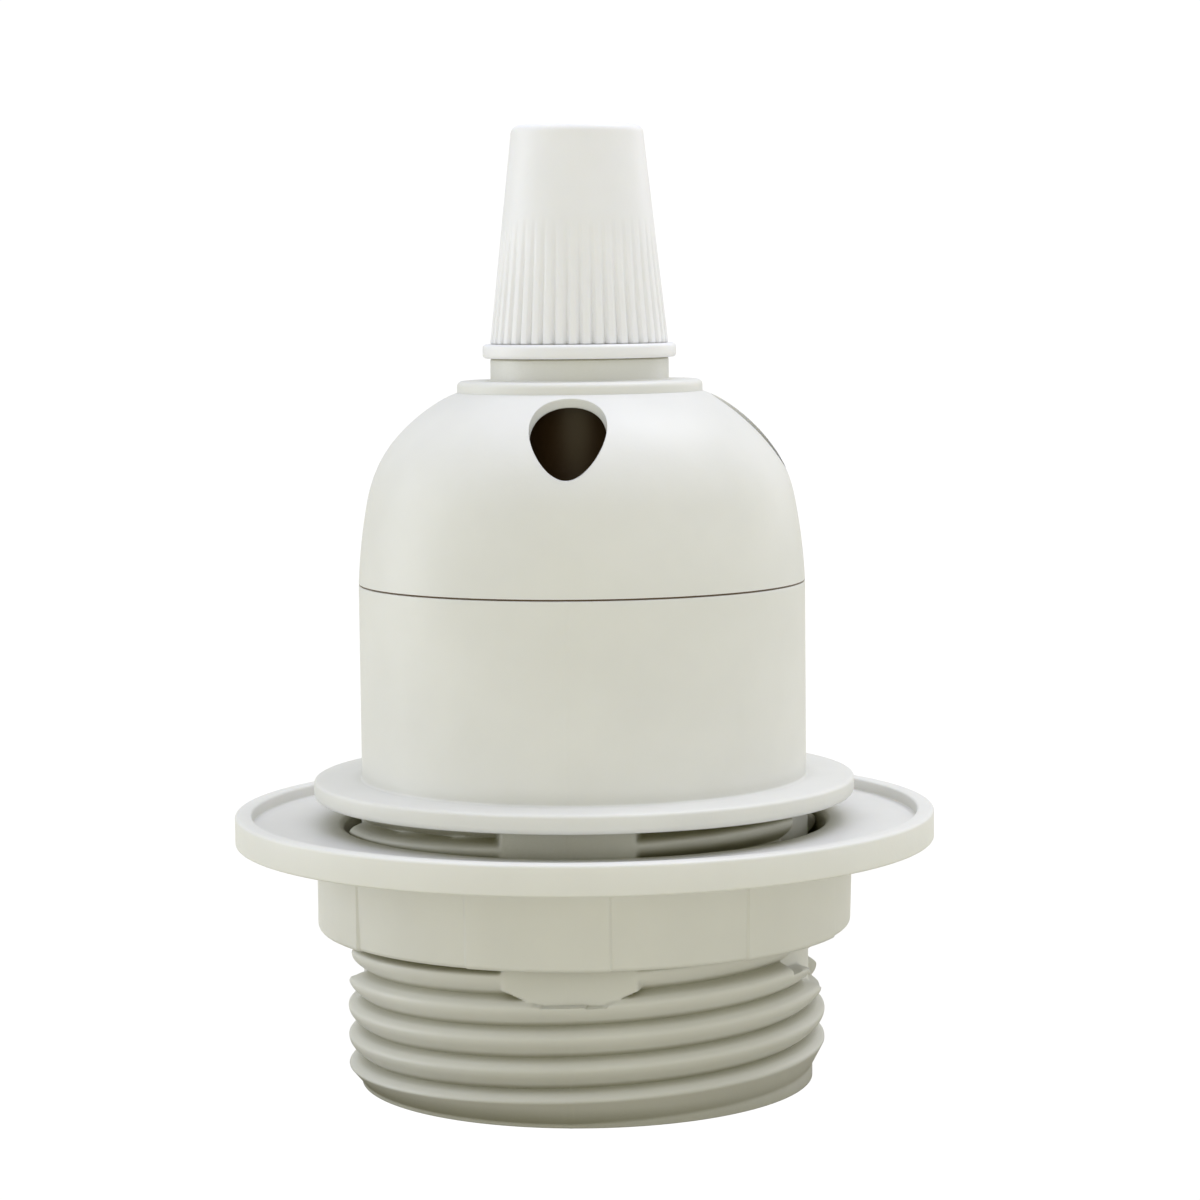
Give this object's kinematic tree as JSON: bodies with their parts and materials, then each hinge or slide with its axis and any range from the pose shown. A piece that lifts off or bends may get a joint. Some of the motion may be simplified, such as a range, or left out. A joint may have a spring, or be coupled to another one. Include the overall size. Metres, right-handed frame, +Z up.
{
  "type": "pendant lampholder",
  "caption": "Pendant lampholder for a screw-cap lamp, with a vented dome, a ribbed tapered cord grip and a flanged threaded shell that carries a shade ring.",
  "frame": {"origin": "centre of the skirt's lower edge, on the axis of the lampholder", "axes": "+Z up along the axis from the lamp's mouth to the cord's entry, -Y towards the front, -X towards the neutral terminal"},
  "size_m": [0.0582, 0.0582, 0.0792],
  "materials": {
    "shell_plastic": "satin moulded thermoplastic, warm white",
    "ring_plastic": "satin moulded thermoplastic, warm white",
    "dome_plastic": "satin moulded thermoplastic, warm white",
    "grip_plastic": "satin moulded thermoplastic, neutral white",
    "block_plastic": "matt heat-resistant moulding",
    "shell_brass": "pressed sheet",
    "contact_bronze": "spring bronze strip",
    "terminal_brass": "stamped brass",
    "plated_steel": "zinc plated"
  },
  "bodies": {
    "socket": {"outer_shell": "shell_plastic", "insulator_block": "block_plastic", "screw_shell": "shell_brass", "centre_contact_rivet": "terminal_brass", "neutral_rivet": "terminal_brass", "shell_rivet_front": "terminal_brass", "shell_rivet_rear": "terminal_brass", "live_terminal": "terminal_brass", "neutral_terminal": "terminal_brass"},
    "ring": {"shade_ring": "ring_plastic"},
    "cover": {"dome": "dome_plastic", "grip_stem": "grip_plastic"},
    "bush": {"clamp_bush": "grip_plastic"},
    "cap": {"grip_cap": "grip_plastic"},
    "contact": {"centre_contact": "contact_bronze"},
    "live_plate": {"live_clamp_plate": "plated_steel"},
    "live_screw": {"live_terminal_screw": "plated_steel"},
    "neutral_plate": {"neutral_clamp_plate": "plated_steel"},
    "neutral_screw": {"neutral_terminal_screw": "plated_steel"}
  },
  "joints": [
    {"name": "ring_travel", "type": "slide", "parent": "socket", "child": "ring", "axis": [0, 0, 1], "range_m": [-0.012, 0.002]},
    {"name": "dome_lift", "type": "slide", "parent": "socket", "child": "cover", "axis": [0, 0, 1], "range_m": [0, 0.02]},
    {"name": "bush_travel", "type": "slide", "parent": "cover", "child": "bush", "axis": [0, 0, 1], "range_m": [0, 0.003]},
    {"name": "cap_turn", "type": "hinge", "parent": "bush", "child": "cap", "pos_m": [0, 0, 0.07], "axis": [0, 0, 1], "range_deg": [0, 1080]},
    {"name": "contact_flex", "type": "hinge", "parent": "socket", "child": "contact", "pos_m": [0.0075, 0, 0.0276], "axis": [0, 1, 0], "range_deg": [0, 5], "stiffness_Nm_per_rad": 0.05},
    {"name": "live_plate_lift", "type": "slide", "parent": "socket", "child": "live_plate", "axis": [0, 0, 1], "range_m": [0, 0.0015]},
    {"name": "live_screw_turn", "type": "hinge", "parent": "live_plate", "child": "live_screw", "pos_m": [0.0101, 0, 0.036], "axis": [0, 0, 1], "range_deg": [0, 1080]},
    {"name": "neutral_plate_lift", "type": "slide", "parent": "socket", "child": "neutral_plate", "axis": [0, 0, 1], "range_m": [0, 0.0015]},
    {"name": "neutral_screw_turn", "type": "hinge", "parent": "neutral_plate", "child": "neutral_screw", "pos_m": [-0.0059, 0, 0.036], "axis": [0, 0, 1], "range_deg": [0, 1080]}
  ],
  "couplings": [
    {"joint": "cap_turn", "follows": "bush_travel", "rad_per_m": 6283},
    {"joint": "live_screw_turn", "follows": "live_plate_lift", "rad_per_m": 12566},
    {"joint": "neutral_screw_turn", "follows": "neutral_plate_lift", "rad_per_m": 12566}
  ]
}
